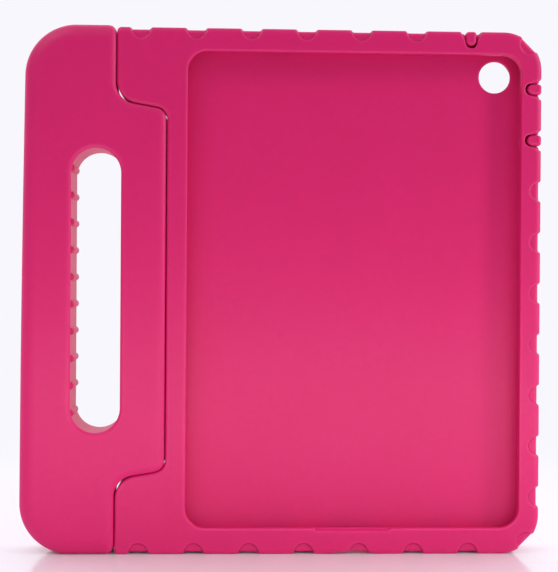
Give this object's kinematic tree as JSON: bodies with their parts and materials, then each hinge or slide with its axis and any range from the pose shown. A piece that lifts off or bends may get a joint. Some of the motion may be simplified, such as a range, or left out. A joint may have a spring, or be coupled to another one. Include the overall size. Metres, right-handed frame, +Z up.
{
  "type": "tablet case",
  "caption": "Upright moulded foam case for a tablet, with a hinged carry handle that folds back as a stand and soft press pads for the tablet's buttons.",
  "frame": {"origin": "middle of the base that the case stands on: centre of the bounding box in X and Y, at its lowest height", "axes": "+X to the right, away from the carry handle; +Y to the back, away from the tablet's screen; +Z up along the tablet's long side"},
  "size_m": [0.2688, 0.03, 0.272],
  "materials": {
    "foam": "satin moulded foam skin",
    "hinge_plastic": "moulded, matt",
    "pin_steel": "drawn bar",
    "washer_nylon": "natural nylon"
  },
  "bodies": {
    "case": {"case_foam": "foam", "hinge_socket_top": "hinge_plastic", "hinge_socket_bottom": "hinge_plastic", "friction_washer_top": "washer_nylon", "friction_washer_bottom": "washer_nylon"},
    "handle": {"handle_foam": "foam", "hinge_hub_top": "hinge_plastic", "hinge_hub_bottom": "hinge_plastic", "hinge_pin_top": "pin_steel", "hinge_pin_bottom": "pin_steel"},
    "volume_up": {"volume_up_pad": "foam"},
    "volume_down": {"volume_down_pad": "foam"},
    "power": {"power_pad": "foam"}
  },
  "joints": [
    {"name": "handle_fold", "type": "hinge", "parent": "case", "child": "handle", "pos_m": [-0.0733, 0.004, 0.136], "axis": [0, 0, -1], "range_deg": [0, 105]},
    {"name": "volume_up_press", "type": "slide", "parent": "case", "child": "volume_up", "axis": [-1, 0, 0], "range_m": [0, 0.001], "stiffness_N_per_m": 800},
    {"name": "volume_down_press", "type": "slide", "parent": "case", "child": "volume_down", "axis": [-1, 0, 0], "range_m": [0, 0.001], "stiffness_N_per_m": 800},
    {"name": "power_press", "type": "slide", "parent": "case", "child": "power", "axis": [0, 0, -1], "range_m": [0, 0.001], "stiffness_N_per_m": 800}
  ]
}
